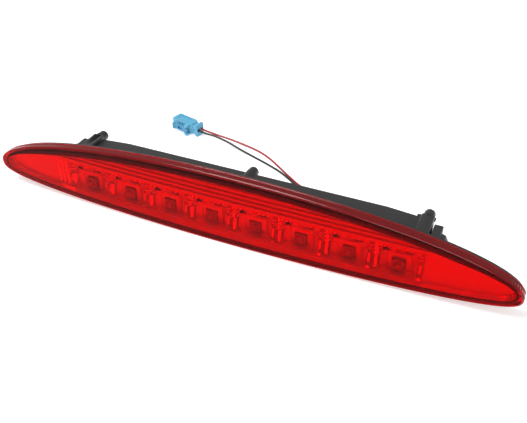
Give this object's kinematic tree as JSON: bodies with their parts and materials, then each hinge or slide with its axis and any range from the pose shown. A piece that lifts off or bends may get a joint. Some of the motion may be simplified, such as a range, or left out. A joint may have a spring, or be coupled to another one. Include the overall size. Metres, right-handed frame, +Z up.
{
  "type": "third brake light",
  "caption": "Long bowed red brake light with LED cells behind a clear lens, black housing with rear studs and two wires to a small blue connector.",
  "frame": {"origin": "middle of the lamp's own box, at the level of the rim's lowest line, on the surface that it stands on", "axes": "+X along the lamp, to the right when the lens is looked at; -Y is the way the lens faces; +Z up"},
  "size_m": [0.36, 0.1268, 0.0515],
  "materials": {
    "lens_cover": "clear red lens, polished",
    "rear_housing": "black moulded plastic, satin",
    "body_seal": "closed-cell foam rubber",
    "reflector_bezel": "bright moulded reflector",
    "circuit_board": "green solder mask",
    "led": "tinted epoxy",
    "resistor": "black component body",
    "board_screws": "zinc plated",
    "wire_grommet": "soft black rubber",
    "wire_red": "red insulation",
    "wire_black": "black insulation",
    "connector_body": "light blue moulded plastic",
    "connector_latch": "light blue moulded plastic",
    "terminal_lock": "light blue moulded plastic",
    "terminal": "tin plated contact"
  },
  "bodies": {
    "lamp": {"lens_cover": "lens_cover", "rear_housing": "rear_housing", "body_seal": "body_seal", "reflector_bezel": "reflector_bezel", "circuit_board": "circuit_board", "led_1": "led", "led_2": "led", "led_3": "led", "led_4": "led", "led_5": "led", "led_6": "led", "led_7": "led", "led_8": "led", "resistor_1": "resistor", "resistor_2": "resistor", "resistor_3": "resistor", "resistor_4": "resistor", "protection_diode": "resistor", "board_screws": "board_screws", "wire_grommet": "wire_grommet", "board_lead_red": "wire_red", "board_lead_black": "wire_black", "wire_red": "wire_red", "wire_black": "wire_black", "connector_body": "connector_body", "terminal_red": "terminal", "terminal_black": "terminal"},
    "latch": {"connector_latch": "connector_latch"},
    "lock": {"terminal_lock": "terminal_lock"}
  },
  "joints": [
    {"name": "latch_press", "type": "hinge", "parent": "lamp", "child": "latch", "pos_m": [-0.08955, 0.08884, 0.005], "axis": [0, 0, -1], "range_deg": [0, 4.5], "stiffness_Nm_per_rad": 0.05},
    {"name": "lock_slide", "type": "slide", "parent": "lamp", "child": "lock", "axis": [0.2588, 0.9659, 0], "range_m": [0, 0.0015]}
  ]
}
